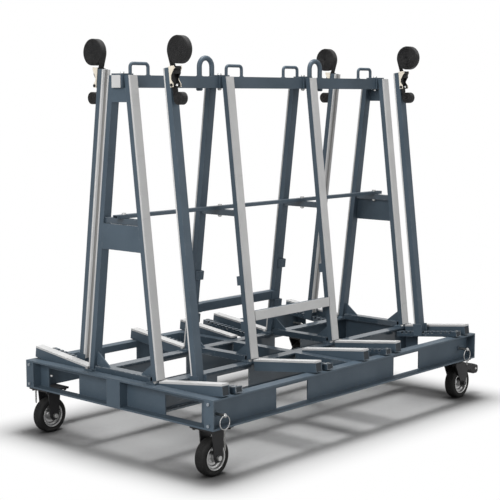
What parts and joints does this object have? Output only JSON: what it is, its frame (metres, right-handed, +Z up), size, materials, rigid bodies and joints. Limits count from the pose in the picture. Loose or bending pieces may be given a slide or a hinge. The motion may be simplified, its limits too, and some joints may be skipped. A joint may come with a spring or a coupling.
{
  "type": "slab a-frame cart",
  "caption": "Wheeled A-frame cart for stone or glass slabs: channel base with fork openings, rubber-faced legs under a ridge tube, tilted slab arms, sliding posts with rolled straps, casters.",
  "frame": {"origin": "on the floor under the middle of the base", "axes": "+X along the ridge towards the swivel casters, -Y the front, +Z up"},
  "size_m": [1.946, 1.152, 1.6869],
  "materials": {
    "painted_steel": "satin",
    "rubber_facing": "matte",
    "webbing": "matte",
    "ratchet_steel": "satin",
    "black_plastic": "matte",
    "black_steel": "satin",
    "zinc": "satin",
    "tyre": "matte",
    "rim_steel": "satin",
    "end_cap": "matte"
  },
  "bodies": {
    "base": {"front_channel": "painted_steel", "rear_channel": "painted_steel", "end_channels": "painted_steel", "deck_bars": "painted_steel", "cross_bars": "painted_steel", "frame_legs": "painted_steel", "leg_facings": "rubber_facing", "frame_plates": "painted_steel", "rail_sockets": "painted_steel", "ridge_beam": "painted_steel", "ridge_caps": "end_cap", "ridge_saddles": "painted_steel", "ridge_handles": "painted_steel", "lifting_eyes": "painted_steel", "tie_bar": "painted_steel", "fasteners": "zinc", "slab_arms": "painted_steel", "arm_facings": "rubber_facing", "post_tracks": "painted_steel", "caster_mounts": "black_steel"},
    "post_front_left": {"post_front_left": "painted_steel", "post_facing_front_left": "rubber_facing", "strap_front_left": "webbing", "ratchet_front_left": "ratchet_steel"},
    "lever_front_left": {"ratchet_handle_front_left": "ratchet_steel"},
    "pin_front_left": {"pin_front_left": "zinc"},
    "wheel_front_left": {"tyre_front_left": "tyre", "rim_front_left": "rim_steel"},
    "post_front_right": {"post_front_right": "painted_steel", "post_facing_front_right": "rubber_facing", "strap_front_right": "webbing", "ratchet_front_right": "ratchet_steel"},
    "lever_front_right": {"ratchet_handle_front_right": "ratchet_steel"},
    "pin_front_right": {"pin_front_right": "zinc"},
    "wheel_front_right": {"tyre_front_right": "tyre", "rim_front_right": "rim_steel"},
    "caster_front": {"caster_fork_front": "black_steel"},
    "pedal_front": {"brake_pedal_front": "black_plastic"},
    "rail_front": {"rail_front": "painted_steel", "rail_facing_front": "rubber_facing"},
    "post_rear_left": {"post_rear_left": "painted_steel", "post_facing_rear_left": "rubber_facing", "strap_rear_left": "webbing", "ratchet_rear_left": "ratchet_steel"},
    "lever_rear_left": {"ratchet_handle_rear_left": "ratchet_steel"},
    "pin_rear_left": {"pin_rear_left": "zinc"},
    "wheel_rear_left": {"tyre_rear_left": "tyre", "rim_rear_left": "rim_steel"},
    "post_rear_right": {"post_rear_right": "painted_steel", "post_facing_rear_right": "rubber_facing", "strap_rear_right": "webbing", "ratchet_rear_right": "ratchet_steel"},
    "lever_rear_right": {"ratchet_handle_rear_right": "ratchet_steel"},
    "pin_rear_right": {"pin_rear_right": "zinc"},
    "wheel_rear_right": {"tyre_rear_right": "tyre", "rim_rear_right": "rim_steel"},
    "caster_rear": {"caster_fork_rear": "black_steel"},
    "pedal_rear": {"brake_pedal_rear": "black_plastic"},
    "rail_rear": {"rail_rear": "painted_steel", "rail_facing_rear": "rubber_facing"}
  },
  "joints": [
    {"name": "post_front_left_slide", "type": "slide", "parent": "base", "child": "post_front_left", "axis": [0, -0.993, 0.1184], "range_m": [-0.085, 0.165]},
    {"name": "lever_front_left_turn", "type": "hinge", "parent": "post_front_left", "child": "lever_front_left", "pos_m": [-0.769, -0.22598, 1.49442], "axis": [1, 0, 0], "range_deg": [0, 85]},
    {"name": "pin_front_left_pull", "type": "slide", "parent": "base", "child": "pin_front_left", "axis": [0, -1, 0], "range_m": [0, 0.08]},
    {"name": "wheel_front_left_spin", "type": "hinge", "parent": "base", "child": "wheel_front_left", "pos_m": [-0.849, -0.488, 0.075], "axis": [0, 1, 0], "continuous": true},
    {"name": "post_front_right_slide", "type": "slide", "parent": "base", "child": "post_front_right", "axis": [0, -0.993, 0.1184], "range_m": [-0.085, 0.165]},
    {"name": "lever_front_right_turn", "type": "hinge", "parent": "post_front_right", "child": "lever_front_right", "pos_m": [0.769, -0.22598, 1.49442], "axis": [1, 0, 0], "range_deg": [0, 85]},
    {"name": "pin_front_right_pull", "type": "slide", "parent": "base", "child": "pin_front_right", "axis": [0, -1, 0], "range_m": [0, 0.08]},
    {"name": "wheel_front_right_spin", "type": "hinge", "parent": "caster_front", "child": "wheel_front_right", "pos_m": [0.875, -0.488, 0.075], "axis": [0, 1, 0], "continuous": true},
    {"name": "caster_front_swivel", "type": "hinge", "parent": "base", "child": "caster_front", "pos_m": [0.841, -0.488, 0.17], "axis": [0, 0, 1], "continuous": true},
    {"name": "pedal_front_press", "type": "hinge", "parent": "caster_front", "child": "pedal_front", "pos_m": [0.905, -0.488, 0.155], "axis": [0, 1, 0], "range_deg": [0, 9]},
    {"name": "rail_front_lift", "type": "slide", "parent": "base", "child": "rail_front", "axis": [0, 0.1184, 0.993], "range_m": [0, 0.05]},
    {"name": "post_rear_left_slide", "type": "slide", "parent": "base", "child": "post_rear_left", "axis": [0, 0.993, 0.1184], "range_m": [-0.085, 0.165]},
    {"name": "lever_rear_left_turn", "type": "hinge", "parent": "post_rear_left", "child": "lever_rear_left", "pos_m": [-0.769, 0.22598, 1.49442], "axis": [-1, 0, 0], "range_deg": [0, 85]},
    {"name": "pin_rear_left_pull", "type": "slide", "parent": "base", "child": "pin_rear_left", "axis": [0, 1, 0], "range_m": [0, 0.08]},
    {"name": "wheel_rear_left_spin", "type": "hinge", "parent": "base", "child": "wheel_rear_left", "pos_m": [-0.849, 0.488, 0.075], "axis": [0, 1, 0], "continuous": true},
    {"name": "post_rear_right_slide", "type": "slide", "parent": "base", "child": "post_rear_right", "axis": [0, 0.993, 0.1184], "range_m": [-0.085, 0.165]},
    {"name": "lever_rear_right_turn", "type": "hinge", "parent": "post_rear_right", "child": "lever_rear_right", "pos_m": [0.769, 0.22598, 1.49442], "axis": [-1, 0, 0], "range_deg": [0, 85]},
    {"name": "pin_rear_right_pull", "type": "slide", "parent": "base", "child": "pin_rear_right", "axis": [0, 1, 0], "range_m": [0, 0.08]},
    {"name": "wheel_rear_right_spin", "type": "hinge", "parent": "caster_rear", "child": "wheel_rear_right", "pos_m": [0.875, 0.488, 0.075], "axis": [0, 1, 0], "continuous": true},
    {"name": "caster_rear_swivel", "type": "hinge", "parent": "base", "child": "caster_rear", "pos_m": [0.841, 0.488, 0.17], "axis": [0, 0, 1], "continuous": true},
    {"name": "pedal_rear_press", "type": "hinge", "parent": "caster_rear", "child": "pedal_rear", "pos_m": [0.905, 0.488, 0.155], "axis": [0, 1, 0], "range_deg": [0, 9]},
    {"name": "rail_rear_lift", "type": "slide", "parent": "base", "child": "rail_rear", "axis": [0, -0.1184, 0.993], "range_m": [0, 0.05]}
  ]
}
